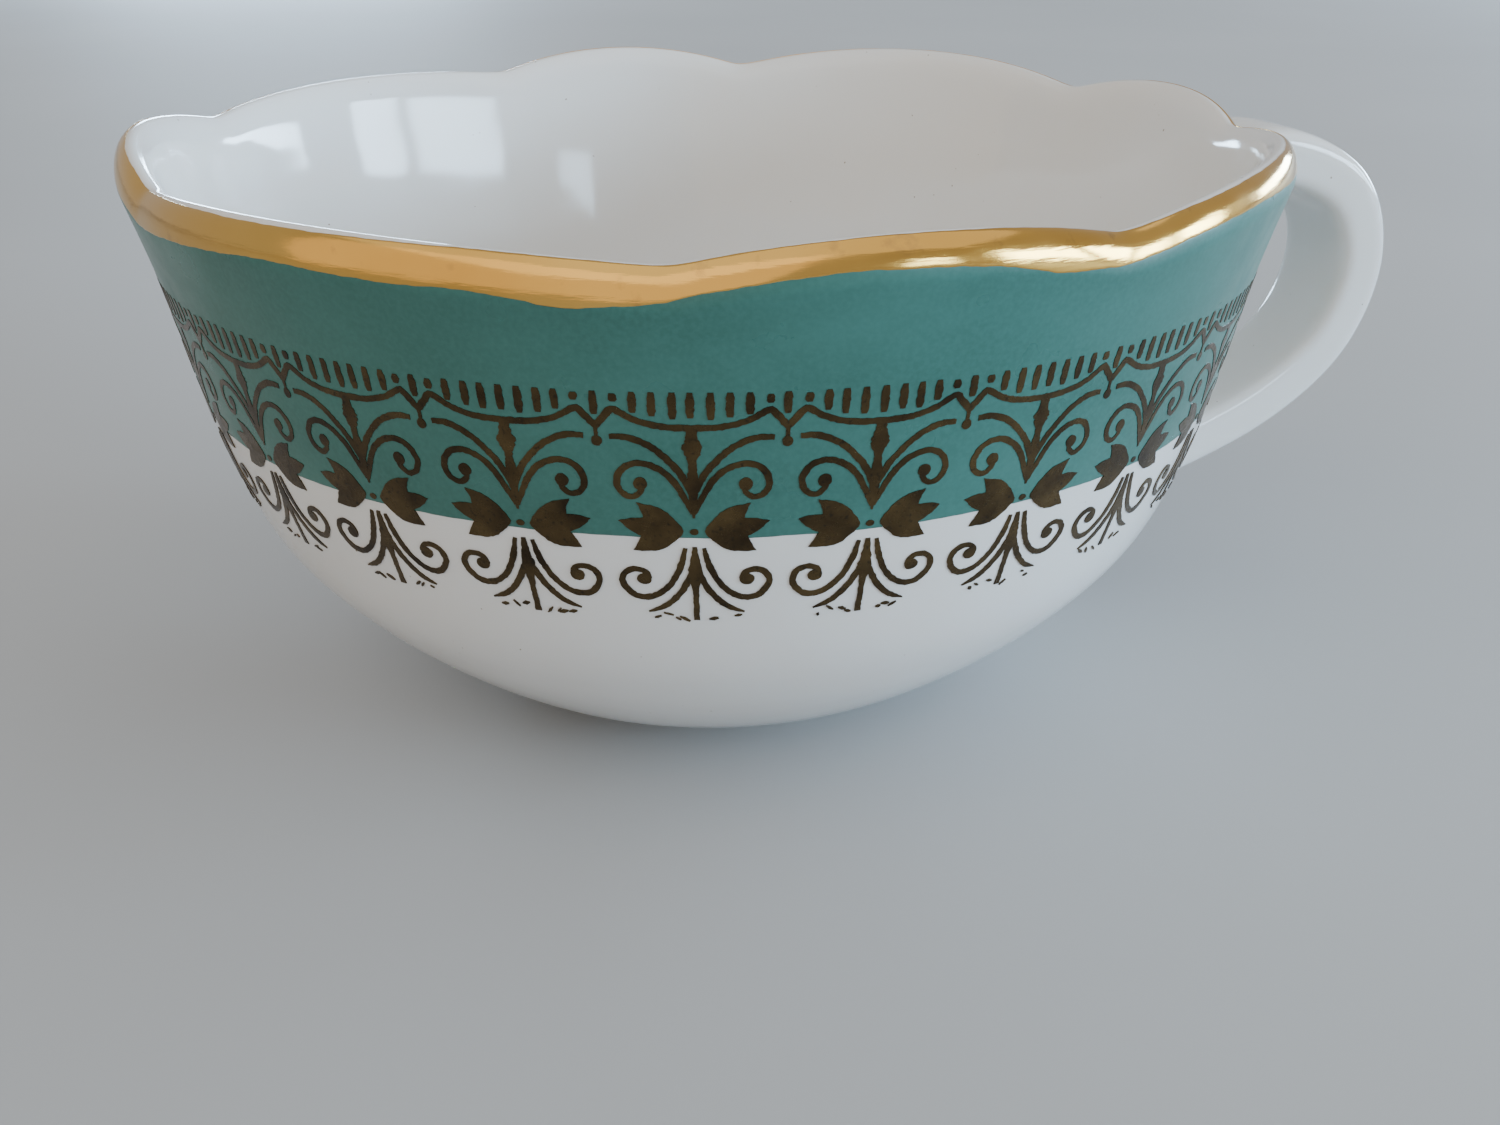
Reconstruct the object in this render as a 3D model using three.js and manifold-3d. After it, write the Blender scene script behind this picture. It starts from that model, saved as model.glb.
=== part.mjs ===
// Teacup: a round-bellied porcelain bowl with an eight-lobed rim, on a low foot ring, with a strap
// handle luted on at two joints, a band of coloured enamel round the wall and a gilt edge on the lip.
// Millimetres, +Z up. The handle points along +X, and the origin is on the table under the middle
// of the cup and its handle together.

import * as THREE from 'three';
import { mergeVertices } from 'three/addons/utils/BufferGeometryUtils.js';
import Module from 'manifold-3d';

const wasm = await Module();
wasm.setup();

// Bowl
const RIM_RADIUS = 51.2;        // widest reach of the lip in a notch
const LIP_HEIGHT = 51.9;        // top of the lip in a notch
const LIP_THICKNESS = 3.0;
const LIP_RISE = 2.7;           // from the outermost line of the lip up to its top
const WALL_THICKNESS = 3.0;
const BASE_THICKNESS = 3.6;     // at the middle of the floor of the bowl
const FOOT_TOP_RADIUS = 22.0;   // where the belly meets the foot ring
const FOOT_TOP_HEIGHT = 1.9;

// Lobes of the rim, uneven as the cup came out of its mould: the azimuth of the notch where each
// starts, in degrees, and how far its crest stands above that notch
const LOBES = [
  { notch: 20, rise: 2.2 },
  { notch: 70, rise: 2.0 },
  { notch: 104, rise: 0.9 },
  { notch: 152, rise: 2.0 },
  { notch: 195, rise: 0.9 },
  { notch: 250.5, rise: 1.75 },
  { notch: 288.5, rise: 1.85 },
  { notch: 347, rise: 1.9 },
];
const LOBE_START_HEIGHT = 32;   // the wall is round below this
const LOBE_FULLNESS = 0.6;      // under 1 makes a broad crest and a narrow notch
const LOBE_SPREAD = 0.35;       // outward reach of a crest as a share of its rise
const NOTCH_SOFTNESS = 0.15;

// Foot ring
const FOOT_RADIUS = 19.6;
const FOOT_WIDTH = 2.6;

// Layers on the wall: each lies in a shallow step, flush with the porcelain
const ENAMEL_LOW = 32.1;
const ENAMEL_HIGH = 48.7;
const GILT_FROM = 10;           // degrees round the lip: 0 is its outermost line, 90 its top
const GILT_TO = 78;
const GILT_MARGIN = 4;
const LAYER = 0.45;
const LAYER_GAP = 0.15;

// Handle
const STRAP_WIDTH = 11.2;
const STRAP_THICKNESS = 5.8;
const STRAP_EDGE = 1.6;         // radius of the long edges of the strap
const HANDLE_REACH = 74.2;      // outer face of the strap, from the axis of the bowl
const CLEARANCE = 0.3;          // between parts that are cut to each other
const JOINT_SPREAD = 2.6;       // how far a joint's fillet stands out round the strap
const JOINT_REACH = 3.6;        // how far it runs out along the strap

const TURN_STEPS = 64;
const STRAP_STEPS = 36;
const RIM_REACH_BEHIND = 51.7;  // on the lobe opposite the handle
const AXIS_X = (RIM_REACH_BEHIND - HANDLE_REACH) / 2;

const glazedWhite = { color: 0xe9e8e4, roughness: 0.16, metalness: 0 };
const bareClay = { color: 0xd9d3c6, roughness: 0.85, metalness: 0 };
const turquoise = { color: 0x5fae9f, roughness: 0.2, metalness: 0 };
const gold = { color: 0xc9933f, roughness: 0.22, metalness: 1 };

// The outside of the bowl in section: radius and height, from the foot up to the lip.
const outside = new THREE.SplineCurve([
  new THREE.Vector2(FOOT_TOP_RADIUS, FOOT_TOP_HEIGHT),
  new THREE.Vector2(27.5, 4.2),
  new THREE.Vector2(33.8, 8.9),
  new THREE.Vector2(39.5, 14.4),
  new THREE.Vector2(43.6, 20.0),
  new THREE.Vector2(46.4, 27.5),
  new THREE.Vector2(48.1, 35.0),
  new THREE.Vector2(49.6, 43.0),
  new THREE.Vector2(RIM_RADIUS, LIP_HEIGHT - LIP_RISE),
]);
outside.arcLengthDivisions = 400;

// The point on the outside at one height, moved in through the wall by a depth.
function wallAt(height, depth) {
  let low = 0;
  let high = 1;
  for (let i = 0; i < 30; i += 1) {
    const middle = (low + high) / 2;
    if (outside.getPoint(middle).y < height) {
      low = middle;
    } else {
      high = middle;
    }
  }
  const point = outside.getPoint(low);
  const along = outside.getTangent(low);
  return new THREE.Vector2(point.x - along.y * depth, point.y + along.x * depth);
}

// Points up the outside between two heights, both ends included.
function wallRun(from, to, steps, depth) {
  const points = [];
  for (let i = 0; i <= steps; i += 1) {
    points.push(wallAt(from + ((to - from) * i) / steps, depth));
  }
  return points;
}

// The rounded lip is the top of an ellipse: 0 degrees is its outermost point, 90 its top, 180 inside.
function lipAt(degrees, depth) {
  const angle = THREE.MathUtils.degToRad(degrees);
  const radius = RIM_RADIUS + (LIP_THICKNESS / 2 - depth) * Math.cos(angle) - LIP_THICKNESS / 2;
  return new THREE.Vector2(radius, LIP_HEIGHT - LIP_RISE + (LIP_RISE - depth) * Math.sin(angle));
}

// Points over the lip between two angles, both ends included.
function lipRun(from, to, steps, depth) {
  const points = [];
  for (let i = 0; i <= steps; i += 1) {
    points.push(lipAt(from + ((to - from) * i) / steps, depth));
  }
  return points;
}

// How far the lip stands above the level of its notches at one azimuth in radians.
function riseAt(azimuth) {
  const degrees = THREE.MathUtils.euclideanModulo(THREE.MathUtils.radToDeg(azimuth) - LOBES[0].notch, 360);
  const starts = LOBES.map((lobe) => lobe.notch - LOBES[0].notch);
  const index = starts.findLastIndex((start) => start <= degrees);
  const end = starts[index + 1] ?? 360;
  const wave = Math.sin((Math.PI * (degrees - starts[index])) / (end - starts[index]));
  const lowest = NOTCH_SOFTNESS ** LOBE_FULLNESS;
  const height = (wave * wave + NOTCH_SOFTNESS ** 2) ** (LOBE_FULLNESS / 2);
  return (LOBES[index].rise * (height - lowest)) / (1 - lowest);
}

// Raises and widens the upper wall on each lobe, more and more towards the lip.
function addLobes(geometry) {
  const position = geometry.getAttribute('position');
  for (let i = 0; i < position.count; i += 1) {
    const x = position.getX(i);
    const y = position.getY(i);
    const z = position.getZ(i);
    const radius = Math.hypot(x, y);
    const share = THREE.MathUtils.smoothstep(z, LOBE_START_HEIGHT, LIP_HEIGHT);
    if (radius > 1 && share > 0) {
      const rise = riseAt(Math.atan2(y, x)) * share;
      const scale = 1 + (LOBE_SPREAD * rise) / radius;
      position.setXYZ(i, x * scale, y * scale, z + rise);
    }
  }
}

// Drops all but the positions and joins equal points, so that the surface is one closed body.
function weld(geometry) {
  geometry.deleteAttribute('normal');
  geometry.deleteAttribute('uv');
  return mergeVertices(geometry, 1e-4);
}

// A closed section turned round the Z axis, with the lobes of the rim on it.
function turned(section) {
  const geometry = new THREE.LatheGeometry(section, TURN_STEPS);
  geometry.rotateX(Math.PI / 2);
  addLobes(geometry);
  return weld(geometry);
}

function asSolid(geometry) {
  const vertProperties = new Float32Array(geometry.getAttribute('position').array);
  const triVerts = new Uint32Array(geometry.getIndex().array);
  return new wasm.Manifold(new wasm.Mesh({ numProp: 3, vertProperties, triVerts }));
}

function asGeometry(solid) {
  const mesh = solid.getMesh();
  const geometry = new THREE.BufferGeometry();
  geometry.setAttribute('position', new THREE.BufferAttribute(new Float32Array(mesh.vertProperties), 3));
  geometry.setIndex(new THREE.BufferAttribute(new Uint32Array(mesh.triVerts), 1));
  return geometry;
}

function named(name, geometry, finish) {
  const mesh = new THREE.Mesh(geometry, new THREE.MeshStandardMaterial(finish));
  mesh.name = name;
  return mesh;
}

// The wall of the bowl with its steps for the enamel and the gilding, its lip and its inside.
function bowlGeometry() {
  const floor = FOOT_TOP_HEIGHT + BASE_THICKNESS;
  const section = [
    ...wallRun(FOOT_TOP_HEIGHT, ENAMEL_LOW - LAYER_GAP, 10, 0),
    ...wallRun(ENAMEL_LOW - LAYER_GAP, ENAMEL_HIGH + LAYER_GAP, 6, LAYER + LAYER_GAP),
    wallAt(ENAMEL_HIGH + LAYER_GAP, 0),
    lipAt(GILT_FROM - GILT_MARGIN, 0),
    ...lipRun(GILT_FROM - GILT_MARGIN, GILT_TO + GILT_MARGIN, 4, LAYER + LAYER_GAP),
    ...lipRun(GILT_TO + GILT_MARGIN, 150, 5, 0),
    ...wallRun(46, 12, 8, WALL_THICKNESS),
    new THREE.Vector2(29, floor + 3.4),
    new THREE.Vector2(18, floor + 0.5),
    new THREE.Vector2(0, floor),
  ];
  section.unshift(new THREE.Vector2(0, FOOT_TOP_HEIGHT));
  return turned(section);
}

// A thin layer that fills the step between two heights of the wall.
function enamelGeometry() {
  const section = [
    ...wallRun(ENAMEL_LOW, ENAMEL_HIGH, 6, 0),
    ...wallRun(ENAMEL_HIGH, ENAMEL_LOW, 6, LAYER),
  ];
  section.push(section[0].clone());
  return turned(section);
}

// The gilding over the outer side and the top of the lip.
function giltGeometry() {
  const section = [...lipRun(GILT_FROM, GILT_TO, 5, 0), ...lipRun(GILT_TO, GILT_FROM, 5, LAYER)];
  section.push(section[0].clone());
  return turned(section);
}

function footGeometry() {
  const top = FOOT_TOP_HEIGHT - CLEARANCE;
  const section = [
    new THREE.Vector2(FOOT_RADIUS - FOOT_WIDTH, 0),
    new THREE.Vector2(FOOT_RADIUS - 0.4, 0),
    new THREE.Vector2(FOOT_RADIUS, 0.4),
    new THREE.Vector2(FOOT_RADIUS + 0.9, top),
    new THREE.Vector2(FOOT_RADIUS - FOOT_WIDTH - 0.9, top),
    new THREE.Vector2(FOOT_RADIUS - FOOT_WIDTH, 0),
  ];
  return turned(section);
}

// The middle line of the strap, from inside the wall at the top to inside the wall at the bottom.
const strapLine = new THREE.CatmullRomCurve3([
  new THREE.Vector3(44.0, 0, 44.6),
  new THREE.Vector3(52.0, 0, 46.5),
  new THREE.Vector3(60.5, 0, 47.0),
  new THREE.Vector3(68.4, 0, 43.0),
  new THREE.Vector3(HANDLE_REACH - STRAP_THICKNESS / 2, 0, 35.4),
  new THREE.Vector3(68.6, 0, 27.0),
  new THREE.Vector3(61.0, 0, 20.6),
  new THREE.Vector3(50.0, 0, 16.0),
  new THREE.Vector3(40.0, 0, 13.6),
  new THREE.Vector3(32.0, 0, 13.0),
], false, 'centripetal');

// How far along the strap its middle line meets the wall, between a share inside and one outside.
function meetsWall(insideShare, outsideShare) {
  let inside = insideShare;
  let clear = outsideShare;
  for (let i = 0; i < 20; i += 1) {
    const middle = (inside + clear) / 2;
    const point = strapLine.getPointAt(middle);
    if (point.x < wallAt(point.z, 0).x) {
      inside = middle;
    } else {
      clear = middle;
    }
  }
  return (inside + clear) / 2;
}

// The section of the strap, a flat bar with rounded edges, grown on every side by a margin.
function strapSection(margin) {
  const x = STRAP_WIDTH / 2 + margin - STRAP_EDGE;
  const y = STRAP_THICKNESS / 2 + margin - STRAP_EDGE;
  const section = new THREE.Shape();
  section.absarc(x, y, STRAP_EDGE, 0, Math.PI / 2);
  section.absarc(-x, y, STRAP_EDGE, Math.PI / 2, Math.PI);
  section.absarc(-x, -y, STRAP_EDGE, Math.PI, Math.PI * 1.5);
  section.absarc(x, -y, STRAP_EDGE, Math.PI * 1.5, Math.PI * 2);
  return section;
}

function strapGeometry(margin) {
  const options = { steps: STRAP_STEPS, extrudePath: strapLine, curveSegments: 3, bevelEnabled: false };
  return weld(new THREE.ExtrudeGeometry(strapSection(margin), options));
}

// Everything inside the outer face of the bowl and up past its lip, grown by the clearance.
function bowlSpace() {
  const top = LIP_HEIGHT + 1;
  const section = [
    new THREE.Vector2(0, FOOT_TOP_HEIGHT - CLEARANCE),
    ...wallRun(FOOT_TOP_HEIGHT, 48.9, 16, -CLEARANCE),
    new THREE.Vector2(RIM_RADIUS + CLEARANCE, LIP_HEIGHT - LIP_RISE),
    new THREE.Vector2(RIM_RADIUS + CLEARANCE, top),
    new THREE.Vector2(0, top),
  ];
  return asSolid(turned(section));
}

// The fillet of slip round one end of the strap: a flared collar, cut to the wall and the strap.
// share is how far along the strap the wall is met, and outward is 1 if the strap runs out from there.
function jointGeometry(share, outward) {
  const collar = new THREE.LatheGeometry([
    new THREE.Vector2(0, -JOINT_REACH),
    new THREE.Vector2(1, -JOINT_REACH),
    new THREE.Vector2(1, JOINT_REACH * 0.15),
    new THREE.Vector2(0.9, JOINT_REACH * 0.5),
    new THREE.Vector2(0.85, JOINT_REACH),
    new THREE.Vector2(0, JOINT_REACH),
  ], 24);
  collar.scale(STRAP_WIDTH / 2 + JOINT_SPREAD, 1, STRAP_THICKNESS / 2 + JOINT_SPREAD);
  const across = new THREE.Vector3(0, 1, 0);
  const along = strapLine.getTangentAt(share).multiplyScalar(outward);
  const place = new THREE.Matrix4().makeBasis(across, along, across.clone().cross(along));
  collar.applyMatrix4(place.setPosition(strapLine.getPointAt(share)));
  return asSolid(weld(collar)).subtract(wall).subtract(asSolid(strapGeometry(CLEARANCE)));
}

const wall = bowlSpace();
const strap = asSolid(strapGeometry(0)).subtract(wall);

const cup = new THREE.Group();
cup.position.x = AXIS_X;
cup.add(named('bowl', bowlGeometry(), glazedWhite));
cup.add(named('foot_ring', footGeometry(), bareClay));
cup.add(named('enamel_band', enamelGeometry(), turquoise));
cup.add(named('gilt_rim', giltGeometry(), gold));
cup.add(named('handle', asGeometry(strap), glazedWhite));
cup.add(named('upper_handle_joint', asGeometry(jointGeometry(meetsWall(0, 0.3), 1)), glazedWhite));
cup.add(named('lower_handle_joint', asGeometry(jointGeometry(meetsWall(1, 0.7), -1)), glazedWhite));

export default cup;
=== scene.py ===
"""A porcelain teacup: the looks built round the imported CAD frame.

The bowl is a surface of revolution whose upper wall and lip rise and spread on eight uneven lobes.
Enamel, gilding and the gold border are thin layers laid on that surface, and the handle is a strap
whose ends flare into the wall. Lengths are in millimetres until a mesh is made.
"""

import math

import bpy
import numpy as np
from mathutils import Matrix, Vector


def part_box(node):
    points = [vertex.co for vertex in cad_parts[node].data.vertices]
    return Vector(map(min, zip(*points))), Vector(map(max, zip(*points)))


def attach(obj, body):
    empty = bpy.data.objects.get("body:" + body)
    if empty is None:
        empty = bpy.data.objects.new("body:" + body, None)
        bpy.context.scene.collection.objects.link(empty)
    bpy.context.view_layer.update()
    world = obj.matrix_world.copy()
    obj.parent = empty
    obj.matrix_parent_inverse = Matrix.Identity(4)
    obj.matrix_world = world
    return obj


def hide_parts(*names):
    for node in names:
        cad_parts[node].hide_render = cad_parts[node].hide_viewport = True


MM = 0.001

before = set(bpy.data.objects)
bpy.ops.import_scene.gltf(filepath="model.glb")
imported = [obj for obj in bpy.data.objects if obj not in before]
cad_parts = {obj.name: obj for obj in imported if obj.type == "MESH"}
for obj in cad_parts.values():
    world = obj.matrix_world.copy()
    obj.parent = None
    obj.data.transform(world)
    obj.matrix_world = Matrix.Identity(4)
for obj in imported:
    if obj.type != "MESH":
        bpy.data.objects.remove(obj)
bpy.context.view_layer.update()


def box_mm(node):
    """A CAD node's lowest and highest corners in millimetres."""
    low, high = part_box(node)
    return np.array(low) / MM, np.array(high) / MM


FOOT_LOW, FOOT_HIGH = box_mm("foot_ring")
HANDLE_LOW, HANDLE_HIGH = box_mm("handle")
ENAMEL_LOW = box_mm("enamel_band")[0][2]
AXIS = (FOOT_LOW[:2] + FOOT_HIGH[:2]) / 2  # the axis of the bowl, on the table

# The bowl in section, as in the CAD part.
FOOT_TOP_HEIGHT = box_mm("bowl")[0][2]
RIM_RADIUS = 51.2  # in a notch of the rim
LIP_HEIGHT = 51.9  # top of the lip in a notch
LIP_THICKNESS = 3.0
LIP_RISE = 2.7
WALL_THICKNESS = 3.0
BASE_THICKNESS = 3.6
OUTSIDE_POINTS = (
    (22.0, FOOT_TOP_HEIGHT),
    (27.5, 4.2),
    (33.8, 8.9),
    (39.5, 14.4),
    (43.6, 20.0),
    (46.4, 27.5),
    (48.1, 35.0),
    (49.6, 43.0),
    (RIM_RADIUS, LIP_HEIGHT - LIP_RISE),
)

# Each lobe of the rim: the azimuth of the notch where it starts, and its rise above the notches.
LOBES = (
    (20, 2.2),
    (70, 2.0),
    (104, 0.9),
    (152, 2.0),
    (195, 0.9),
    (250.5, 1.75),
    (288.5, 1.85),
    (347, 1.9),
)
LOBE_START_HEIGHT = 32
LOBE_FULLNESS = 0.6
LOBE_SPREAD = 0.35
NOTCH_SOFTNESS = 0.15

# The inside: the lip runs down into the wall, the wall runs parallel to the outside between two
# heights, and the hollow's floor flattens out, given as radius and height over its middle.
LIP_INSIDE = ((48.15, 50.1), (47.72, 48.4))
INSIDE_HIGH = 45
INSIDE_LOW = 13
INSIDE_FLOOR = ((29, 3.4), (18, 0.6), (8, 0.1))

# The foot ring's section, under the bowl.
FOOT_WIDTH = 2.6
FOOT_INSET = 0.9  # how far its side stands in from the CAD ring's widest radius
FOOT_ROUNDING = 0.45

AROUND = 480  # columns of the meshes that go all the way round
LAYER_AROUND = 1440  # columns of the thin layers, enough for their ragged edges

# Layers over the porcelain. At its very edge a layer keeps only a share of its thickness.
ENAMEL_PROUD = 0.04
GILT_PROUD = 0.07
EDGE_COVER = 0.3
EDGE_STEEPNESS = 50
# The gilder's two edges wander: azimuth, lower edge and upper edge in degrees round the lip,
# where 0 is its outermost line and 90 its top.
GILT_EDGES = (
    (30, 8, 76),
    (75, 14, 82),
    (120, 4, 74),
    (165, 10, 78),
    (190, 4, 80),
    (205, 0, 70),
    (219, 8, 67),
    (229, 2, 70),
    (236, 8, 80),
    (243.5, -4, 84),
    (253, 18, 80),
    (265, 19, 80),
    (275, 12, 82),
    (281.5, 0, 84),
    (290, 19, 82),
    (305, 21, 76),
    (335, 6, 80),
)
SOFT_STEPS = 3  # steps to a column while the corners between these are softened
SOFT_WIDTH = 61  # how many such steps the softening takes in
BORDER_PROUD = 0.085
SUNK = -0.04  # how deep the hidden side of a layer lies

# The gold border: one motif repeated round the wall.
REPEATS = 24
PITCH = 12.4  # millimetres of wall given to one motif
BORDER_PHASE = math.radians(-107.5)  # azimuth of one motif's stem
INK_SPREAD = 0.1  # how much wider a stroke printed than it was drawn
STROKE_RAGGED = (0.84, 1.12)  # least and most share of its width at any place
DOT_RAGGED = 0.05
DOT_SIDES = 18
SHARP_ANGLE = math.radians(40)

# Camera, measured from the axis of the bowl.
CAMERA_AZIMUTH = math.radians(-105.8)
CAMERA_DISTANCE = 142.4
CAMERA_HEIGHT = 75.2
CAMERA_PITCH = math.radians(25.4)
CAMERA_YAW = math.radians(1.49)
CAMERA_LENS = 35.8

FLOOR_HALF = 4.0  # metres
LIGHT_TARGET = Vector((0, 0, 0.03))  # metres, about the middle of the cup

# Places of the mix node's own sockets when it mixes colours.
MIX_FACTOR = 0
MIX_UNDER = 6
MIX_OVER = 7
MIX_RESULT = 2

rng = np.random.default_rng(7)


# ---------------------------------------------------------------- curves


def cubic(p0, p1, p2, p3, t):
    """One span of a uniform Catmull-Rom curve, from p1 to p2."""
    v0 = (p2 - p0) / 2
    v1 = (p3 - p1) / 2
    return (2 * p1 - 2 * p2 + v0 + v1) * t**3 + (3 * p2 - 3 * p1 - 2 * v0 - v1) * t**2 + v0 * t + p1


def smooth_line(points, steps):
    """A Catmull-Rom curve through the points, with this many steps in each span."""
    points = np.array(points, float)
    padded = np.vstack([points[:1], points, points[-1:]])
    t = np.linspace(0, 1, steps, endpoint=False)[:, None]
    spans = [cubic(*padded[i : i + 4], t) for i in range(len(points) - 1)]
    return np.vstack([*spans, points[-1:]])


def respaced(line, spacing):
    """The same line with its points evenly spaced, about this far apart."""
    along = np.concatenate([[0], np.cumsum(np.linalg.norm(np.diff(line, axis=0), axis=1))])
    count = max(4, math.ceil(along[-1] / spacing))
    places = np.linspace(0, along[-1], count + 1)
    return np.stack([np.interp(places, along, column) for column in line.T], axis=1)


def smoothstep(x, low, high):
    """0 below low, 1 above high and a smooth rise between them."""
    t = np.clip((x - low) / (high - low), 0, 1)
    return t * t * (3 - 2 * t)


# ---------------------------------------------------------------- the surface of the bowl

OUTSIDE = smooth_line(OUTSIDE_POINTS, 40)
OUTSIDE_SLOPE = np.gradient(OUTSIDE[:, 0], OUTSIDE[:, 1])


def wall_at(height, proud=0.0):
    """Radius and height of the outside at one height, moved out through the glaze by proud."""
    radius = np.interp(height, OUTSIDE[:, 1], OUTSIDE[:, 0])
    slope = np.interp(height, OUTSIDE[:, 1], OUTSIDE_SLOPE)
    length = np.hypot(1, slope)
    return radius + proud / length, height - proud * slope / length


def lip_at(degrees, proud=0.0):
    """Radius and height on the rounded lip: 0 degrees is outermost, 90 the top, 180 inside."""
    angle = np.radians(degrees)
    radius = RIM_RADIUS - LIP_THICKNESS / 2 + (LIP_THICKNESS / 2 + proud) * np.cos(angle)
    return radius, LIP_HEIGHT - LIP_RISE + (LIP_RISE + proud) * np.sin(angle)


def rise_at(azimuth):
    """How far the lip stands above the level of its notches, at each azimuth in radians."""
    starts = np.array([notch for notch, _ in LOBES] + [LOBES[0][0] + 360.0])
    degrees = (np.degrees(azimuth) - starts[0]) % 360 + starts[0]
    index = np.clip(np.searchsorted(starts, degrees, side="right") - 1, 0, len(LOBES) - 1)
    share = (degrees - starts[index]) / (starts[index + 1] - starts[index])
    lowest = NOTCH_SOFTNESS**LOBE_FULLNESS
    height = (np.sin(np.pi * share) ** 2 + NOTCH_SOFTNESS**2) ** (LOBE_FULLNESS / 2)
    rises = np.array([rise for _, rise in LOBES])
    return rises[index] * (height - lowest) / (1 - lowest)


def place(radius, height, azimuth):
    """The point in space of a radius and height of the round section, with the lobes added."""
    rise = rise_at(azimuth) * smoothstep(height, LOBE_START_HEIGHT, LIP_HEIGHT)
    radius = radius + LOBE_SPREAD * rise
    x = AXIS[0] + radius * np.cos(azimuth)
    y = AXIS[1] + radius * np.sin(azimuth)
    return np.stack(np.broadcast_arrays(x, y, height + rise), axis=-1)


def unlifted(height, azimuth):
    """The height on the round section that the lobes lift to this one, closed in on in rounds."""
    rise = rise_at(azimuth)
    level = height
    for _ in range(5):
        level = height - rise * smoothstep(level, LOBE_START_HEIGHT, LIP_HEIGHT)
    return level


def wall_radius(point):
    """Radius of the lobed outside at the height and azimuth of points in space."""
    azimuth = np.arctan2(point[..., 1] - AXIS[1], point[..., 0] - AXIS[0])
    level = unlifted(point[..., 2], azimuth)
    share = smoothstep(level, LOBE_START_HEIGHT, LIP_HEIGHT)
    return wall_at(level)[0] + LOBE_SPREAD * rise_at(azimuth) * share


# ---------------------------------------------------------------- meshes


def new_piece(name, points, faces, material, slot, *nodes):
    """Makes a smooth piece from points in millimetres and puts it on the cup's one body."""
    mesh = bpy.data.meshes.new(name)
    mesh.from_pydata((np.asarray(points) * MM).tolist(), [], faces)
    mesh.validate()
    mesh.shade_smooth()
    mesh.materials.append(material)
    piece = bpy.data.objects.new(name, mesh)
    bpy.context.collection.objects.link(piece)
    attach(piece, "root")
    if nodes:
        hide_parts(*nodes)
    return piece


def ring_faces(rows, columns, closed_rows):
    """Quads of a grid whose columns go all the way round, and its rows too if they close."""
    faces = []
    last = rows if closed_rows else rows - 1
    for i in range(last):
        a = i * columns
        b = ((i + 1) % rows) * columns
        for j in range(columns):
            k = (j + 1) % columns
            faces.append((a + j, a + k, b + k, b + j))
    return faces


def azimuths(columns=AROUND):
    """The azimuth of each column of a mesh that goes all the way round."""
    return np.arange(columns) * 2 * math.pi / columns


def turned(name, section, material, slot, *nodes):
    """A piece from a section that starts and ends on the axis of the bowl."""
    radius, height = np.array(section[1:-1]).T
    grid = place(radius[:, None], height[:, None], azimuths()[None, :]).reshape(-1, 3)
    first = (AXIS[0], AXIS[1], section[0][1])
    last = (AXIS[0], AXIS[1], section[-1][1])
    rows = len(radius)
    faces = ring_faces(rows, AROUND, False)
    start = rows * AROUND
    top = (rows - 1) * AROUND
    for j in range(AROUND):
        k = (j + 1) % AROUND
        faces.append((start, k, j))
        faces.append((top + j, top + k, start + 1))
    return new_piece(name, np.vstack([grid, [first], [last]]), faces, material, slot, *nodes)


# ---------------------------------------------------------------- materials


def node_material(name):
    """A new material, its node tree and its one shader."""
    material = bpy.data.materials.new(name)
    material.use_nodes = True
    shader = material.node_tree.nodes["Principled BSDF"]
    return material, material.node_tree, shader


def noise(tree, scale, detail, stretch=(1, 1, 1)):
    """A noise texture over the object's own coordinates; scale is in features per metre."""
    coordinates = tree.nodes.new("ShaderNodeTexCoord")
    mapping = tree.nodes.new("ShaderNodeMapping")
    mapping.inputs["Scale"].default_value = stretch
    texture = tree.nodes.new("ShaderNodeTexNoise")
    texture.inputs["Scale"].default_value = scale
    texture.inputs["Detail"].default_value = detail
    tree.links.new(coordinates.outputs["Object"], mapping.inputs["Vector"])
    tree.links.new(mapping.outputs["Vector"], texture.inputs["Vector"])
    return texture.outputs["Fac"]


def ramp(tree, value, stops):
    """A colour ramp with stops of (position, colour)."""
    node = tree.nodes.new("ShaderNodeValToRGB")
    elements = node.color_ramp.elements
    while len(elements) < len(stops):
        elements.new(0.5)
    for element, (position, colour) in zip(elements, stops):
        element.position = position
        element.color = (*colour, 1.0)
    tree.links.new(value, node.inputs["Fac"])
    return node.outputs["Color"]


def grey(value):
    """A grey colour, or a plain number as a colour ramp holds it."""
    return (value, value, value)


def mix(tree, factor, under, colour):
    """One plain colour laid over another by a factor."""
    node = tree.nodes.new("ShaderNodeMix")
    node.data_type = "RGBA"
    tree.links.new(factor, node.inputs[MIX_FACTOR])
    tree.links.new(under, node.inputs[MIX_UNDER])
    node.inputs[MIX_OVER].default_value = (*colour, 1.0)
    return node.outputs[MIX_RESULT]


def bump(tree, shader, value, strength, distance):
    """Roughens the shader's surface by a value; distance is in metres."""
    node = tree.nodes.new("ShaderNodeBump")
    node.inputs["Strength"].default_value = strength
    node.inputs["Distance"].default_value = distance
    tree.links.new(value, node.inputs["Height"])
    tree.links.new(node.outputs["Normal"], shader.inputs["Normal"])


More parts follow.
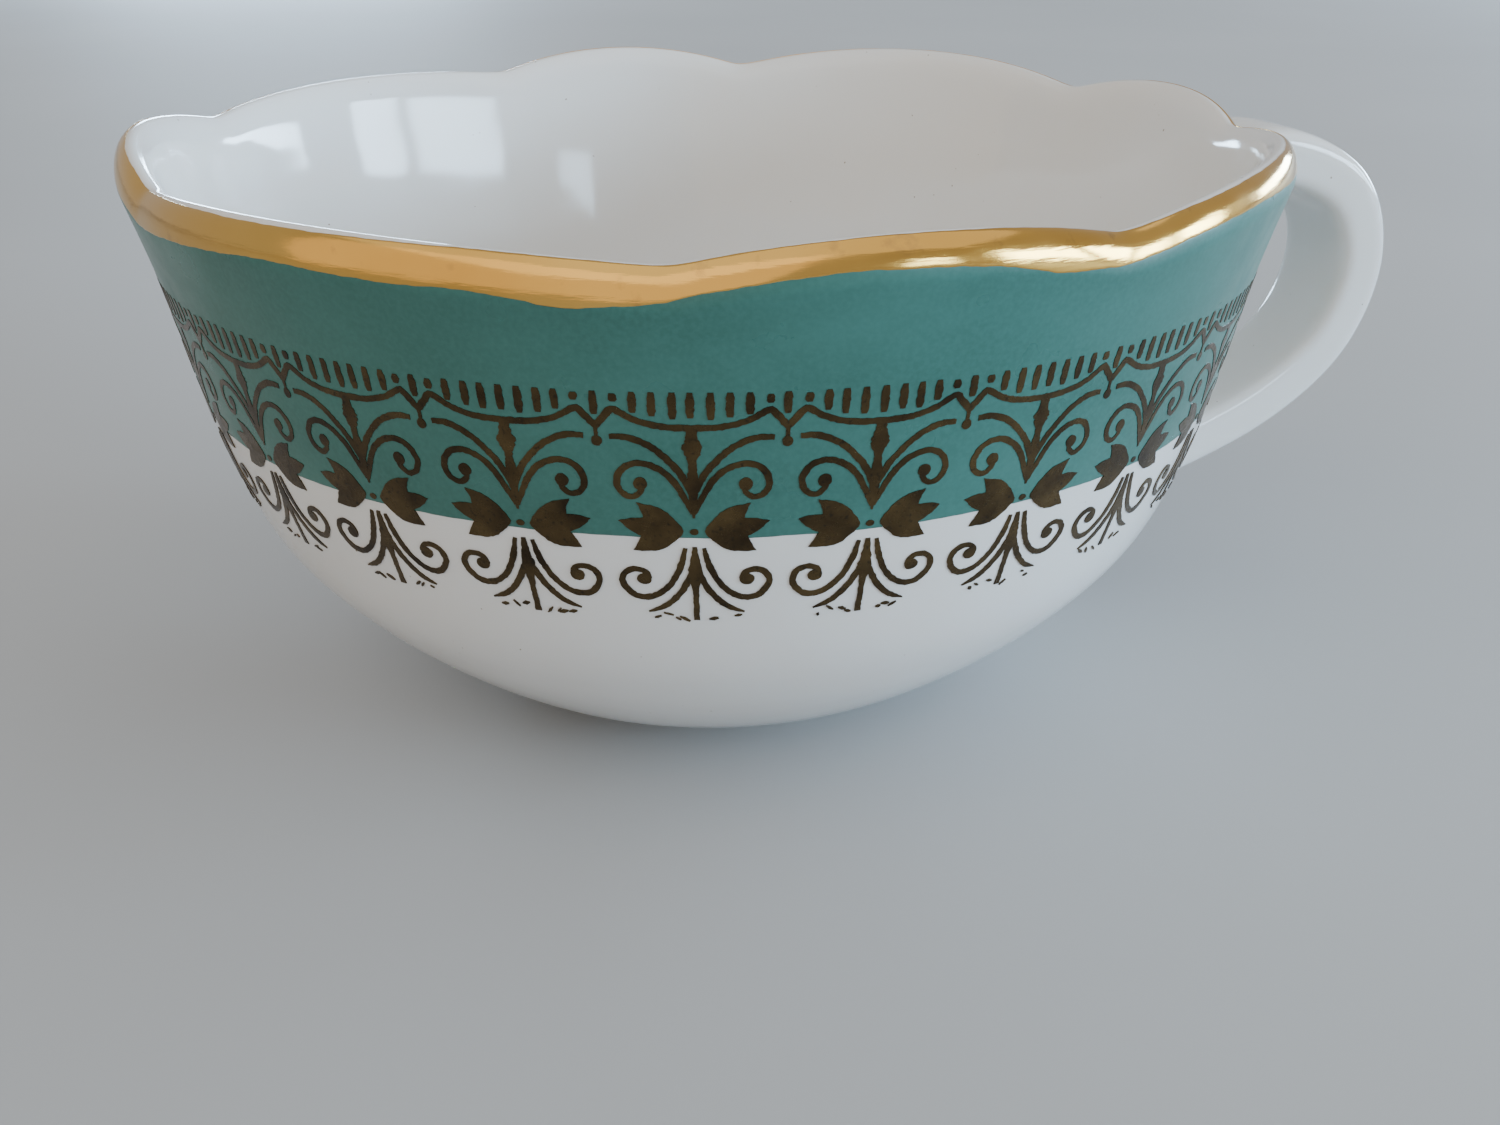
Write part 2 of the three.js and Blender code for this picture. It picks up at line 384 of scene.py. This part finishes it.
def glaze_material():
    """White porcelain under a clear glossy glaze, with faint warm clouds and a few pinholes."""
    material, tree, shader = node_material("porcelain_glaze")
    clouds = ramp(
        tree,
        noise(tree, 28, 3),
        [(0.35, (0.78, 0.765, 0.735)), (0.65, (0.80, 0.80, 0.79))],
    )
    specks = ramp(tree, noise(tree, 1500, 1), [(0.80, grey(0.0)), (0.83, grey(1.0))])
    tree.links.new(mix(tree, specks, clouds, (0.30, 0.24, 0.18)), shader.inputs["Base Color"])
    gloss = ramp(tree, noise(tree, 90, 5), [(0.3, grey(0.06)), (0.75, grey(0.14))])
    tree.links.new(gloss, shader.inputs["Roughness"])
    shader.inputs["IOR"].default_value = 1.52
    shader.inputs["Subsurface Weight"].default_value = 0.12
    shader.inputs["Subsurface Radius"].default_value = (0.0016, 0.0013, 0.0010)
    shader.inputs["Subsurface Scale"].default_value = 1.0
    bump(tree, shader, noise(tree, 160, 2), 0.12, 0.0002)
    return material


def enamel_material():
    """Opaque turquoise enamel with a soft gloss, laid a little unevenly."""
    material, tree, shader = node_material("turquoise_enamel")
    wash = ramp(
        tree,
        noise(tree, 60, 4, (1, 1, 2.2)),
        [(0.3, (0.036, 0.130, 0.108)), (0.7, (0.053, 0.174, 0.150))],
    )
    grain = ramp(tree, noise(tree, 2600, 2), [(0.35, grey(0.0)), (0.75, grey(0.35))])
    tree.links.new(mix(tree, grain, wash, (0.070, 0.216, 0.190)), shader.inputs["Base Color"])
    gloss = ramp(tree, noise(tree, 220, 4), [(0.3, grey(0.26)), (0.8, grey(0.42))])
    tree.links.new(gloss, shader.inputs["Roughness"])
    shader.inputs["IOR"].default_value = 1.38
    shader.inputs["Coat Weight"].default_value = 0.10
    shader.inputs["Coat Roughness"].default_value = 0.08
    bump(tree, shader, noise(tree, 900, 3), 0.08, 0.0001)
    return material


def gilt_material():
    """Bright burnished gold with hairline scratches round the rim and dulled, worn patches."""
    material, tree, shader = node_material("bright_gilding")
    tone = ramp(
        tree,
        noise(tree, 45, 5),
        [(0.3, (0.72, 0.40, 0.09)), (0.7, (0.90, 0.54, 0.14))],
    )
    worn = ramp(tree, noise(tree, 420, 6), [(0.62, grey(0.0)), (0.76, grey(0.6))])
    tree.links.new(mix(tree, worn, tone, (0.36, 0.20, 0.09)), shader.inputs["Base Color"])
    shader.inputs["Metallic"].default_value = 1.0
    gloss = ramp(tree, noise(tree, 240, 6), [(0.3, grey(0.06)), (0.8, grey(0.22))])
    tree.links.new(gloss, shader.inputs["Roughness"])
    bump(tree, shader, noise(tree, 380, 8, (1, 1, 9)), 0.22, 0.00008)
    return material


def border_material():
    """Satin printed gold of the border, browner than the rim, its colour darkened further to near-black as
    painted dark reflection, and thin in places.
    """
    material, tree, shader = node_material("printed_gold")
    # These near-black browns are painted dark reflection: the print's gold is darkened as if it mirrored a
    # dark room.
    tone = ramp(
        tree,
        noise(tree, 320, 5),
        [(0.3, (0.042, 0.028, 0.015)), (0.7, (0.125, 0.084, 0.036))],
    )
    thin = ramp(tree, noise(tree, 2400, 3), [(0.58, grey(0.0)), (0.74, grey(0.7))])
    tree.links.new(mix(tree, thin, tone, (0.020, 0.020, 0.017)), shader.inputs["Base Color"])
    shader.inputs["Metallic"].default_value = 0.9
    gloss = ramp(tree, noise(tree, 1200, 4), [(0.3, grey(0.22)), (0.8, grey(0.42))])
    tree.links.new(gloss, shader.inputs["Roughness"])
    bump(tree, shader, noise(tree, 3000, 3), 0.2, 0.00005)
    return material


def clay_material():
    """The bare, unglazed clay of the foot's standing edge."""
    material, tree, shader = node_material("bare_clay")
    tone = ramp(
        tree,
        noise(tree, 700, 6),
        [(0.3, (0.50, 0.45, 0.38)), (0.7, (0.68, 0.64, 0.57))],
    )
    tree.links.new(tone, shader.inputs["Base Color"])
    rough = ramp(tree, noise(tree, 400, 4), [(0.3, grey(0.7)), (0.7, grey(0.92))])
    tree.links.new(rough, shader.inputs["Roughness"])
    bump(tree, shader, noise(tree, 3500, 4), 0.5, 0.00012)
    return material


# ---------------------------------------------------------------- the bowl and its layers


def bowl_section():
    """The whole section of the porcelain, from the middle of the underside to the inside's middle."""
    middle = FOOT_TOP_HEIGHT + BASE_THICKNESS
    outer = np.linspace(FOOT_TOP_HEIGHT, LIP_HEIGHT - LIP_RISE, 64)
    lip = [lip_at(112), lip_at(135), *LIP_INSIDE]
    wall = [wall_at(height, -WALL_THICKNESS) for height in np.linspace(INSIDE_HIGH, INSIDE_LOW, 12)]
    hollow = [(radius, middle + rise) for radius, rise in INSIDE_FLOOR]
    return [
        (0, FOOT_TOP_HEIGHT),
        (12, FOOT_TOP_HEIGHT),
        (20, FOOT_TOP_HEIGHT),
        *zip(*wall_at(outer)),
        *(lip_at(angle) for angle in np.linspace(0, 105, 24)[1:]),
        *smooth_line([*lip, *wall, *hollow], 6),
        (3, middle),
        (0, middle),
    ]


def edge_cover(share):
    """How much of a layer's thickness stands at a share of its width."""
    return min(1.0, EDGE_COVER + EDGE_STEEPNESS * min(share, 1 - share))


def layer(name, row, steps, hidden_steps, material, slot, node):
    """A thin layer all the way round, from its low edge up its visible side and down its hidden one.

    row(share, cover) gives its points at a share of its width. Cover is how much of its thickness
    stands there, and None asks for the hidden side, which lies SUNK.
    """
    shares = np.concatenate([[0, 0.004, 0.012], np.linspace(0.03, 0.97, steps), [0.988, 0.996, 1]])
    visible = [row(share, edge_cover(share)) for share in shares]
    hidden = [row(share, None) for share in np.linspace(1, 0, hidden_steps)]
    grid = np.array(visible + hidden)
    faces = ring_faces(len(grid), LAYER_AROUND, True)
    return new_piece(name, grid.reshape(-1, 3), faces, material, slot, node)


def waver(amplitude, *waves):
    """A small wandering offset for each azimuth: a sum of waves that close round the rim."""
    azimuth = azimuths(LAYER_AROUND)
    total = sum(np.sin(count * azimuth + rng.uniform(0, 6.28)) / count**0.5 for count in waves)
    return amplitude * total / max(abs(total).max(), 1e-9)


def softened(degrees, values):
    """Values given at a few azimuths, joined all the way round, with their corners softened."""
    fine = np.degrees(azimuths(LAYER_AROUND * SOFT_STEPS))
    line = np.interp(fine, degrees, values, period=360)
    reach = SOFT_WIDTH // 2
    wrapped = np.concatenate([line[-reach:], line, line[:reach]])
    blur = np.hanning(SOFT_WIDTH)
    return np.convolve(wrapped, blur / blur.sum(), "valid")[::SOFT_STEPS]


def gilt_edges():
    """The lower and the upper edge of the gilding, in degrees round the lip, at each azimuth."""
    azimuth, low, high = np.array(GILT_EDGES, float).T
    low = softened(azimuth, low) + waver(1.5, 31, 59, 113, 160, 233, 347)
    high = softened(azimuth, high) + waver(2.5, 13, 37, 71, 133, 211)
    return low, high


def enamel_band(material, gilt_low):
    """The enamel: nine tenths of its width up the wall, and the rest round the lip under the gold."""
    azimuth = azimuths(LAYER_AROUND)
    low = unlifted(ENAMEL_LOW + waver(0.12, 5, 9, 23, 41, 77, 190), azimuth)
    lip = LIP_HEIGHT - LIP_RISE
    top = np.maximum(gilt_low + 5, 1)
    on_wall_share = 0.9
    on_lip_share = 0.1

    def row(share, cover):
        proud = SUNK if cover is None else ENAMEL_PROUD * cover
        if share < on_wall_share:
            section = wall_at(low + (lip - low) * share / on_wall_share, proud)
        else:
            section = lip_at(top * (share - on_wall_share) / on_lip_share, proud)
        return place(*section, azimuth)

    return layer("enamel_band", row, 40, 20, material, "enamel", "enamel_band")


def gilt_rim(material, low, high):
    """The gilding, round the lip from its lower edge to its upper one."""
    azimuth = azimuths(LAYER_AROUND)

    def row(share, cover):
        proud = SUNK if cover is None else GILT_PROUD * cover
        return place(*lip_at(low + (high - low) * share, proud), azimuth)

    return layer("gilt_rim", row, 20, 8, material, "gilt", "gilt_rim")


def foot_ring(material):
    """The low ring under the belly, with a softened standing edge."""
    top = FOOT_TOP_HEIGHT + 0.1  # a little inside the bowl
    outer = FOOT_HIGH[0] - AXIS[0] - FOOT_INSET
    inner = outer - FOOT_WIDTH
    section = smooth_line(
        [
            (outer + 1.9, top),
            (outer + 0.5, top - 0.6),
            (outer, 0.7),
            (outer - FOOT_ROUNDING, 0.04),
            ((outer + inner) / 2, 0),
            (inner + FOOT_ROUNDING, 0.04),
            (inner, 0.7),
            (inner - 0.5, top - 0.6),
            (inner - 1.6, top),
        ],
        6,
    )
    radius, height = section.T
    height = np.maximum(height, 0)
    grid = place(radius[::-1, None], height[::-1, None], azimuths()[None, :])
    faces = ring_faces(len(grid), AROUND, True)
    return new_piece("foot_ring", grid.reshape(-1, 3), faces, material, "bare_clay", "foot_ring")


# ---------------------------------------------------------------- the handle

STRAP_WIDTH = HANDLE_HIGH[1] - HANDLE_LOW[1]
STRAP_THICKNESS = 5.8
STRAP_SQUARENESS = 5.0  # 2 would be an ellipse
HANDLE_REACH = HANDLE_HIGH[0] - AXIS[0]
STRAP_POINTS = (
    (44.0, 44.6),
    (52.0, 46.5),
    (60.5, 47.0),
    (68.4, 43.0),
    (HANDLE_REACH - STRAP_THICKNESS / 2, 35.4),
    (68.6, 27.0),
    (61.0, 20.6),
    (50.0, 16.0),
    (40.0, 13.6),
    (32.0, 13.0),
)
STRAP_COLUMNS = 80
STRAP_SPACING = 0.35  # between steps along the strap
FILLET_ALONG = 4.0  # how far a joint's fillet runs out along the strap
FILLET_ACROSS = 2.0  # how far it spreads over the wall
FILLET_PROUD = 0.12  # its edge covers the gold border
FILLET_BURIED = 0.6  # how deep its last row lies in the wall
FILLET_STEPS = 10
STRAP_STEPS = 150  # rows of the mesh between the two fillets, their ends counted


def strap_section():
    """The strap's outline across and through it: crowned faces between tight rounded edges."""
    angle = np.linspace(0, 2 * math.pi, 2001)
    power = 2 / STRAP_SQUARENESS
    across = np.sign(np.cos(angle)) * abs(np.cos(angle)) ** power * STRAP_WIDTH / 2
    through = np.sign(np.sin(angle)) * abs(np.sin(angle)) ** power * STRAP_THICKNESS / 2
    outline = np.stack([across, through], axis=1)
    length = np.linalg.norm(np.diff(outline, axis=0), axis=1).sum()
    return respaced(outline, length / (STRAP_COLUMNS - 0.5))[:-1].T


def strap_surface():
    """Points of the bare strap, by step along it and by column round it."""
    line = respaced(smooth_line(STRAP_POINTS, 40), STRAP_SPACING)
    tangent = np.gradient(line, axis=0)
    tangent /= np.linalg.norm(tangent, axis=1)[:, None]
    normal = np.stack([tangent[:, 1], -tangent[:, 0]], axis=1)
    across, through = strap_section()
    x = AXIS[0] + line[:, :1] + normal[:, :1] * through
    z = line[:, 1:] + normal[:, 1:] * through
    y = np.broadcast_to(AXIS[1] + across, x.shape)
    return np.stack([x, y, z], axis=-1)


def at_step(column, step):
    """The point of one lengthwise line of the strap at a fractional step."""
    steps = np.arange(len(column))
    return np.array([np.interp(step, steps, column[:, k]) for k in range(3)])


def on_wall(point, proud):
    """The point moved straight out from or in to the axis, until it is proud of the wall."""
    radius = wall_radius(point) + proud
    offset = point[:2] - AXIS
    return np.array([*(AXIS + offset * radius / np.linalg.norm(offset)), point[2]])


def exit_step(points, outward):
    """The first step outside the wall, from the start of a line of points or, at -1, from its end."""
    radius = np.linalg.norm(points[:, :2] - AXIS, axis=1)
    outside = radius > wall_radius(points)
    order = range(len(points)) if outward > 0 else range(len(points) - 1, -1, -1)
    return next(i for i in order if outside[i])


def fillet(column, centre, outward):
    """One lengthwise line of a joint's fillet, from under the wall's surface out to the strap."""
    crossing = exit_step(column, outward)
    meet = on_wall(column[crossing], FILLET_PROUD)
    away = meet - centre
    away /= np.linalg.norm(away)
    spread = on_wall(meet + away * FILLET_ACROSS, FILLET_PROUD)
    reach = crossing + outward * FILLET_ALONG / STRAP_SPACING
    tip = at_step(column, reach)
    t = np.linspace(0, 1, FILLET_STEPS)[:, None]
    curve = (1 - t) ** 2 * spread + 2 * t * (1 - t) * meet + t**2 * tip
    hidden = on_wall(meet + away * FILLET_ACROSS, -FILLET_BURIED)
    return np.vstack([hidden, curve]), reach


def joint_centre(surface, outward):
    """Where the strap's middle meets the wall."""
    middle = surface.mean(axis=1)
    return on_wall(middle[exit_step(middle, outward)], 0)


def handle(material):
    """The strap with a fillet at each end, closed where it lies inside the wall."""
    surface = strap_surface()
    upper = joint_centre(surface, 1)
    lower = joint_centre(surface, -1)
    columns = []
    for j in range(STRAP_COLUMNS):
        column = surface[:, j]
        top, top_step = fillet(column, upper, 1)
        bottom, bottom_step = fillet(column, lower, -1)
        steps = np.linspace(top_step, bottom_step, STRAP_STEPS)[1:-1]
        body = np.array([at_step(column, step) for step in steps])
        columns.append(np.vstack([top, body, bottom[::-1]]))
    grid = np.array(columns).transpose(1, 0, 2)
    rows = len(grid)
    faces = ring_faces(rows, STRAP_COLUMNS, False)
    faces.append(tuple(range(STRAP_COLUMNS))[::-1])
    faces.append(tuple((rows - 1) * STRAP_COLUMNS + j for j in range(STRAP_COLUMNS)))
    nodes = ("handle", "upper_handle_joint", "lower_handle_joint")
    return new_piece("handle", grid.reshape(-1, 3), faces, material, "glaze", *nodes)


# ---------------------------------------------------------------- the gold border


def stroke_sides(path, width):
    """The two ragged sides of a stroke along a path."""
    tangent = np.gradient(path, axis=0)
    tangent /= np.linalg.norm(tangent, axis=1)[:, None] + 1e-9
    side = np.stack([-tangent[:, 1], tangent[:, 0]], axis=1) * width[:, None] / 2
    left = path - side * rng.uniform(*STROKE_RAGGED, (len(path), 1))
    right = path + side * rng.uniform(*STROKE_RAGGED, (len(path), 1))
    return left, right


class Print:
    """Collects shapes of printed gold, each a thin closed body laid flat on the wall."""

    def __init__(self):
        self.points = []
        self.faces = []

    def add(self, points, faces):
        """Adds one body, whose faces count its own points from 0."""
        start = len(self.points)
        self.points.extend(points.tolist())
        self.faces.extend(tuple(start + i for i in face) for face in faces)

    def on_surface(self, across, height, azimuth, proud):
        """Points of the wall at distances across and heights in the motif at an azimuth."""
        azimuth = azimuth + np.asarray(across) / PITCH * 2 * math.pi / REPEATS
        return place(*wall_at(unlifted(height, azimuth), proud), azimuth)

    def stroke(self, azimuth, line, widths, spacing=0.22):
        """A stroke along a smooth line of (across, height) points, as wide as widths says."""
        path = respaced(smooth_line(line, 6), spacing)
        share = np.linspace(0, 1, len(path))
        width = np.interp(share, np.linspace(0, 1, len(widths)), widths) + INK_SPREAD
        left, right = stroke_sides(path, width)
        rows = (
            (left, SUNK),
            (left, BORDER_PROUD),
            (path, BORDER_PROUD),
            (right, BORDER_PROUD),
            (right, SUNK),
        )
        grid = [self.on_surface(*row.T, azimuth, proud) for row, proud in rows]
        faces = ring_faces(len(path), len(rows), False)
        last = (len(path) - 1) * len(rows)
        faces.append(tuple(range(len(rows)))[::-1])
        faces.append(tuple(last + j for j in range(len(rows))))
        self.add(np.stack(grid, axis=1).reshape(-1, 3), faces)

    def patch(self, azimuth, centre, outline):
        """A filled shape whose whole outline, counter-clockwise, can be seen from its centre."""
        centre = np.array(centre)
        outline = np.array(outline) - centre
        rings = [(1, SUNK), (1, BORDER_PROUD), (0.67, BORDER_PROUD), (0.33, BORDER_PROUD)]
        grid = [self.on_surface(*(centre + outline * size).T, azimuth, proud) for size, proud in rings]
        under = self.on_surface(*centre, azimuth, SUNK)
        top = self.on_surface(*centre, azimuth, BORDER_PROUD)
        count = len(outline)
        faces = ring_faces(len(rings), count, False)
        end = len(rings) * count
        for j in range(count):
            k = (j + 1) % count
            faces.append((end, k, j))
            faces.append((end - count + j, end - count + k, end + 1))
        self.add(np.vstack([*grid, under, top]), faces)

    def dot(self, azimuth, across, height, width, tall):
        """A round or oval dot with a slightly uneven edge."""
        angle = np.arange(DOT_SIDES) * 2 * math.pi / DOT_SIDES
        size = 1 + rng.uniform(-DOT_RAGGED, DOT_RAGGED, DOT_SIDES)
        x = across + np.cos(angle) * size * width / 2
        y = height + np.sin(angle) * size * tall / 2
        self.patch(azimuth, (across, height), np.stack([x, y], axis=1))

    def finish(self, name, material):
        """Makes everything collected so far into one piece, with crisp edges."""
        piece = new_piece(name, self.points, self.faces, material, "gilt")
        piece.data.set_sharp_from_angle(angle=SHARP_ANGLE)


def both_sides(line):
    """A line and its mirror image in the motif's stem."""
    return (line, [(-across, height) for across, height in line])


ROUND_ENDS = (0.55, 0.9, 1.0, 1.0, 1.0, 0.9, 0.55)  # shares of a dash's full width


def scaled(shape, width):
    """The widths of a stroke from the shares of its full width."""
    return [share * width for share in shape]


def dashes(border, azimuth):
    """The row of upright dashes over the swag: ten to a motif, shortest over the swag's crests."""
    spacing = PITCH / 10
    lows = {0: 41.55, 1: 41.55, 2: 41.65, 3: 41.95, 4: 42.7, 5: 41.85}
    for k in range(-4, 6):
        low = lows[abs(k)] + rng.uniform(-0.1, 0.1)
        high = 43.35 if abs(k) == 4 else 43.5
        across = k * spacing + rng.uniform(-0.07, 0.07)
        border.stroke(azimuth, [(across, high), (across, low)], scaled(ROUND_ENDS, 0.46))


def swag(border, azimuth):
    """The hanging line from crest to crest, with a V between two motifs and a dot under it."""
    half = [(0, 40.83), (2.0, 40.95), (3.6, 41.4), (4.7, 42.05), (5.1, 42.2), (5.5, 41.75), (6.2, 40.9)]
    for line in both_sides(half):
        border.stroke(azimuth, line, [0.4, 0.38, 0.36, 0.36, 0.42, 0.4])
    border.dot(azimuth, PITCH / 2, 39.75, 0.72, 0.8)
    border.stroke(azimuth, [(PITCH / 2, 40.9), (PITCH / 2, 40.0)], [0.2, 0.16, 0.2])


def stem(border, azimuth):
    """The stem that hangs from the swag: a bud above a neck, and a long point."""
    line = [(0, 40.9), (0, 39.4), (0, 38.0), (0, 36.6), (0, 33.75)]
    widths = [0.85, 0.6, 0.85, 1.25, 0.95, 0.5, 0.45, 0.6, 0.75, 0.7, 0.62, 0.5, 0.36, 0.2, 0.06]
    border.stroke(azimuth, line, widths, spacing=0.15)


def scrolls(border, azimuth):
    """Two pairs of arms that spring from the stem: plain ones above, curled ones below."""
    plain = [(5.35, 40.1), (4.4, 40.12), (3.5, 39.85), (2.5, 39.25), (1.6, 38.35), (0.8, 37.3), (0.2, 35.9)]
    curled = [
        (0.1, 34.1),
        (0.65, 35.5),
        (1.35, 36.8),
        (2.3, 37.72),
        (3.5, 38.12),
        (4.55, 37.75),
        (5.1, 36.75),
        (4.85, 35.8),
        (4.1, 35.42),
        (3.5, 35.9),
        (3.45, 36.5),
    ]
    for line in both_sides(plain):
        border.stroke(azimuth, line, [0.3, 0.4, 0.38, 0.38, 0.4, 0.42, 0.26])
    for line in both_sides(curled):
        border.stroke(azimuth, line, [0.12, 0.34, 0.38, 0.38, 0.38, 0.36, 0.4, 0.36, 0.34, 0.3])
        border.dot(azimuth, line[-1][0] + 0.08 * np.sign(line[-1][0]), 36.5, 0.95, 1.02)


def leaves(border, azimuth):
    """A pair of three-pointed leaves on either side of an oval dot."""
    edges = (
        [(0.7, 32.68), (1.14, 33.4), (1.8, 34.15), (2.65, 34.68), (3.9, 34.95)],
        [(3.9, 34.95), (3.6, 34.3), (3.5, 33.72)],
        [(3.5, 33.72), (4.3, 33.7), (5.2, 33.45)],
        [(5.2, 33.45), (4.6, 32.8), (3.68, 32.22)],
        [(3.68, 32.22), (3.95, 31.7), (4.35, 30.98)],
        [(4.35, 30.98), (3.05, 30.95), (2.1, 31.2), (1.3, 31.85), (0.7, 32.5)],
    )
    outline = np.vstack([smooth_line(edge, 4)[:-1] for edge in edges])
    outline = outline + rng.uniform(-0.035, 0.035, outline.shape)
    border.patch(azimuth, (2.7, 32.95), outline[::-1])
    border.patch(azimuth, (-2.7, 32.95), outline * (-1, 1))
    border.dot(azimuth, 0, 32.6, 0.62, 0.5)


def sprays(border, azimuth):
    """The spray under the leaves: a middle rib, two legs and two curled ribs."""
    rib = [(0, 31.3), (0, 29.0), (0, 26.8), (0, 24.6)]
    border.stroke(azimuth, rib, [0.22, 0.42, 0.7, 1.0, 0.75, 0.42, 0.34, 0.34, 0.36, 0.42])
    leg = [(0.1, 29.6), (0.5, 28.4), (1.25, 27.05), (2.3, 25.95), (3.6, 25.35)]
    curl = [
        (0.66, 31.2),
        (1.05, 29.6),
        (1.9, 27.9),
        (3.2, 26.85),
        (4.5, 26.9),
        (5.33, 28.0),
        (5.1, 28.95),
        (4.3, 29.32),
        (3.55, 29.05),
        (3.35, 28.5),
    ]
    for line in both_sides(leg):
        border.stroke(azimuth, line, [0.0, 0.4, 0.42, 0.4, 0.38, 0.32, 0.0])
    for line in both_sides(curl):
        border.stroke(azimuth, line, [0.2, 0.4, 0.38, 0.38, 0.4, 0.42, 0.4, 0.34, 0.3])
        border.dot(azimuth, line[-1][0] + 0.38 * np.sign(line[-1][0]), 28.45, 1.1, 0.95)


def crumbs(border, azimuth):
    """The broken foot of the print between the ribs: ragged flakes, different each time."""
    for across in (-2.9, -2.2, -1.5, -0.8, 0.8, 1.5, 2.2, 2.9):
        if rng.random() < 0.75:
            middle = (across + rng.uniform(-0.25, 0.25), 24.95 + rng.uniform(-0.35, 0.25))
            reach = rng.uniform(0.1, 0.4)
            drop = rng.uniform(-0.1, 0.3) * np.sign(across)
            start = (middle[0] - reach, middle[1] - drop)
            end = (middle[0] + reach, middle[1] + drop)
            border.stroke(azimuth, [start, middle, end], [0.0, rng.uniform(0.05, 0.3), 0.02])


def gold_border(material):
    """The whole border, with each part of the motif its own piece."""
    parts = (
        ("border_dashes", dashes),
        ("border_swags", swag),
        ("border_stems", stem),
        ("border_scrolls", scrolls),
        ("border_leaves", leaves),
        ("border_sprays", sprays),
        ("border_crumbs", crumbs),
    )
    for name, draw in parts:
        border = Print()
        for repeat in range(REPEATS):
            draw(border, BORDER_PHASE + repeat * 2 * math.pi / REPEATS)
        border.finish(name, material)


# ---------------------------------------------------------------- stage, light and camera


def floor():
    """The plain pale floor the cup stands on."""
    material, tree, shader = node_material("pale_floor")
    tone = ramp(tree, noise(tree, 6, 3), [(0.3, grey(0.42)), (0.7, grey(0.45))])
    tree.links.new(tone, shader.inputs["Base Color"])
    shader.inputs["Roughness"].default_value = 0.7
    mesh = bpy.data.meshes.new("floor")
    signs = ((-1, -1), (1, -1), (1, 1), (-1, 1))
    corners = [(x * FLOOR_HALF, y * FLOOR_HALF, 0) for x, y in signs]
    mesh.from_pydata(corners, [], [(0, 1, 2, 3)])
    mesh.materials.append(material)
    piece = bpy.data.objects.new("floor", mesh)
    bpy.context.collection.objects.link(piece)


def soft_light(name, azimuth, elevation, distance, size, power, colour):
    """A rectangular soft light that faces the cup from an azimuth and elevation in degrees.

    Its distance and size are in metres. It shows in the glaze, but not in the background.
    """
    light = bpy.data.lights.new(name, "AREA")
    light.shape = "RECTANGLE"
    light.size, light.size_y = size
    light.energy = power
    light.color = colour
    lamp = bpy.data.objects.new(name, light)
    azimuth = math.radians(azimuth)
    elevation = math.radians(elevation)
    flat = distance * math.cos(elevation)
    lamp.location = (flat * math.cos(azimuth), flat * math.sin(azimuth), distance * math.sin(elevation))
    lamp.rotation_euler = (LIGHT_TARGET - lamp.location).to_track_quat("-Z", "Y").to_euler()
    lamp.visible_camera = False
    bpy.context.collection.objects.link(lamp)


def studio():
    """An even pale studio: cool windows on the handle's side and behind, a warm fill on the other."""
    world = bpy.data.worlds.new("studio")
    world.use_nodes = True
    background = world.node_tree.nodes["Background"]
    background.inputs["Color"].default_value = (0.92, 0.93, 0.95, 1)
    background.inputs["Strength"].default_value = 0.52
    bpy.context.scene.world = world
    cool = (0.56, 0.78, 1.0)
    soft_light("wide_window", -37, 12, 1.3, (0.55, 0.32), 14.0, cool)
    soft_light("narrow_window", -14, 12, 1.3, (0.30, 0.32), 8.5, cool)
    soft_light("small_window", -68, 10, 1.3, (0.22, 0.20), 2.0, cool)
    soft_light("low_window", 24, 7, 1.3, (0.60, 0.18), 11.0, cool)
    soft_light("back_window", 91, 6, 1.3, (0.30, 0.18), 5.0, cool)
    soft_light("overhead", -95, 76, 1.9, (3.4, 3.0), 18.0, (1.0, 0.98, 0.94))
    soft_light("warm_fill", 215, 26, 1.8, (3.2, 2.4), 13.0, (1.0, 0.76, 0.46))


def camera():
    """The camera, from the front and above, with the handle on its right."""
    data = bpy.data.cameras.new("camera")
    data.lens = CAMERA_LENS
    data.sensor_width = 36
    data.clip_start = 0.005
    lens = bpy.data.objects.new("camera", data)
    bpy.context.collection.objects.link(lens)
    x = AXIS[0] + CAMERA_DISTANCE * math.cos(CAMERA_AZIMUTH)
    y = AXIS[1] + CAMERA_DISTANCE * math.sin(CAMERA_AZIMUTH)
    heading = CAMERA_AZIMUTH + math.pi - CAMERA_YAW
    turn = Matrix.Rotation(heading - math.pi / 2, 4, "Z")
    tilt = Matrix.Rotation(math.pi / 2 - CAMERA_PITCH, 4, "X")
    lens.matrix_world = Matrix.Translation(Vector((x, y, CAMERA_HEIGHT)) * MM) @ turn @ tilt
    bpy.context.scene.camera = lens


# ---------------------------------------------------------------- the scene

glaze = glaze_material()
turned("bowl", bowl_section(), glaze, "glaze", "bowl")
gilt_low, gilt_high = gilt_edges()
enamel_band(enamel_material(), gilt_low)
gilt_rim(gilt_material(), gilt_low, gilt_high)
foot_ring(clay_material())
handle(glaze)
gold_border(border_material())
floor()
studio()
camera()
